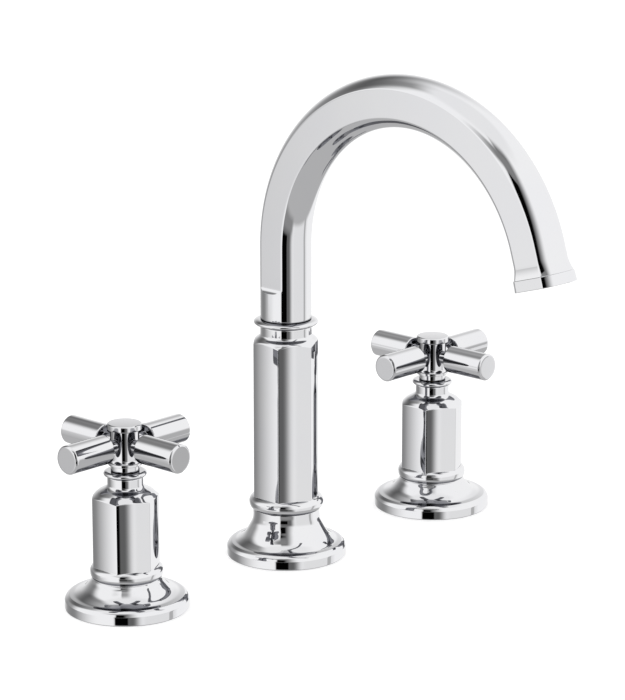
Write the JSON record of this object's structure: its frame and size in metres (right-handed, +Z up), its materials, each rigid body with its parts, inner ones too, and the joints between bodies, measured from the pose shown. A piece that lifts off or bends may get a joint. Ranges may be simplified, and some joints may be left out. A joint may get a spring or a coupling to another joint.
{
  "type": "widespread bathroom faucet",
  "caption": "Widespread basin faucet in polished chrome: cross handles on hexagonal bodies with quarter-turn valves, and a swivelling gooseneck spout with an aerator.",
  "frame": {"origin": "centre of the spout on the deck top, the plane on which the three base flanges stand", "axes": "+X to the cold handle along the line of the three units, +Y to the back (the wall), +Z up; the spout points to -Y"},
  "size_m": [0.2718, 0.1968, 0.3097],
  "materials": {
    "chrome": "polished",
    "brass": "machined",
    "steel": "satin",
    "rubber": "matt",
    "ceramic": "ground alumina ceramic",
    "plastic": "moulded"
  },
  "bodies": {
    "root": {"hot_base_gasket": "rubber", "hot_base_flange": "chrome", "hot_bead_ring": "chrome", "hot_body_sleeve": "chrome", "hot_collar_ring": "chrome", "hot_valve_body": "brass", "hot_valve_cartridge": "brass", "hot_bonnet_nut": "brass", "hot_ceramic_disc_fixed": "ceramic", "hot_rubber_washer": "rubber", "hot_steel_washer": "steel", "hot_mounting_nut": "brass", "cold_base_gasket": "rubber", "cold_base_flange": "chrome", "cold_bead_ring": "chrome", "cold_body_sleeve": "chrome", "cold_collar_ring": "chrome", "cold_valve_body": "brass", "cold_valve_cartridge": "brass", "cold_bonnet_nut": "brass", "cold_ceramic_disc_fixed": "ceramic", "cold_rubber_washer": "rubber", "cold_steel_washer": "steel", "cold_mounting_nut": "brass", "spout_base_gasket": "rubber", "spout_base_flange": "chrome", "spout_bead_ring": "chrome", "spout_column": "chrome", "spout_collar_ring": "chrome", "spout_shank": "brass", "spout_swivel_bush": "plastic", "spout_retaining_clip": "steel", "spout_rubber_washer": "rubber", "spout_steel_washer": "steel", "spout_mounting_nut": "brass"},
    "hot_handle": {"hot_valve_stem": "brass", "hot_ceramic_disc_turning": "ceramic", "hot_handle_hub": "chrome", "hot_handle_cap": "chrome", "hot_handle_screw": "steel", "hot_arm_right": "chrome", "hot_arm_back": "chrome", "hot_arm_left": "chrome", "hot_arm_front": "chrome"},
    "cold_handle": {"cold_valve_stem": "brass", "cold_ceramic_disc_turning": "ceramic", "cold_handle_hub": "chrome", "cold_handle_cap": "chrome", "cold_handle_screw": "steel", "cold_arm_right": "chrome", "cold_arm_back": "chrome", "cold_arm_left": "chrome", "cold_arm_front": "chrome"},
    "spout": {"gooseneck": "chrome", "lower_o_ring": "rubber", "upper_o_ring": "rubber", "aerator_housing": "chrome", "aerator_insert": "plastic", "aerator_seal": "rubber"}
  },
  "joints": [
    {"name": "hot_handle_turn", "type": "hinge", "parent": "root", "child": "hot_handle", "pos_m": [-0.1016, 0, 0.0742], "axis": [0, 0, 1], "range_deg": [0, 90]},
    {"name": "cold_handle_turn", "type": "hinge", "parent": "root", "child": "cold_handle", "pos_m": [0.1016, 0, 0.0742], "axis": [0, 0, -1], "range_deg": [0, 90]},
    {"name": "spout_swivel", "type": "hinge", "parent": "root", "child": "spout", "pos_m": [0, 0, 0.1115], "axis": [0, 0, 1], "range_deg": [-60, 60]}
  ]
}
